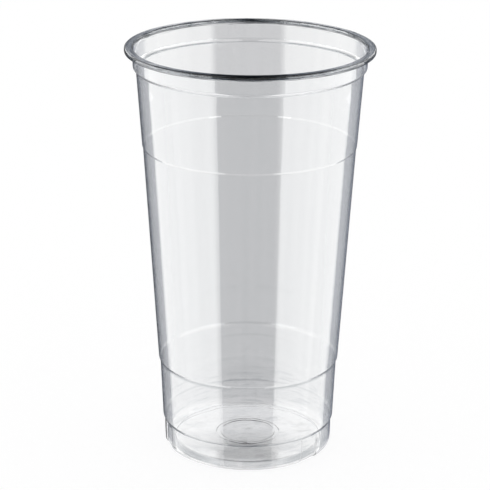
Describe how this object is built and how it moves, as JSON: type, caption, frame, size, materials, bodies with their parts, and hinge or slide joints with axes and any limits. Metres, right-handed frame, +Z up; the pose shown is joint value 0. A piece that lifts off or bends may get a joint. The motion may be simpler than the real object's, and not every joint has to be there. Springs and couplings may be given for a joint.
{
  "type": "plastic disposable cup",
  "caption": "Tall clear plastic cup, tapered and stepped, with a rolled rim, a stacking shoulder, a notched foot and a raised base, formed in one piece.",
  "frame": {"origin": "middle of the foot's resting ring, on the surface that the cup stands on", "axes": "+Z up along the cup's axis, towards the mouth; one notch in the foot lies 43 degrees from +X towards -Y"},
  "size_m": [0.107, 0.107, 0.1805],
  "materials": {
    "clear_plastic": "clear, glossy, formed sheet"
  },
  "bodies": {
    "root": {"cup": "clear_plastic"}
  },
  "joints": []
}
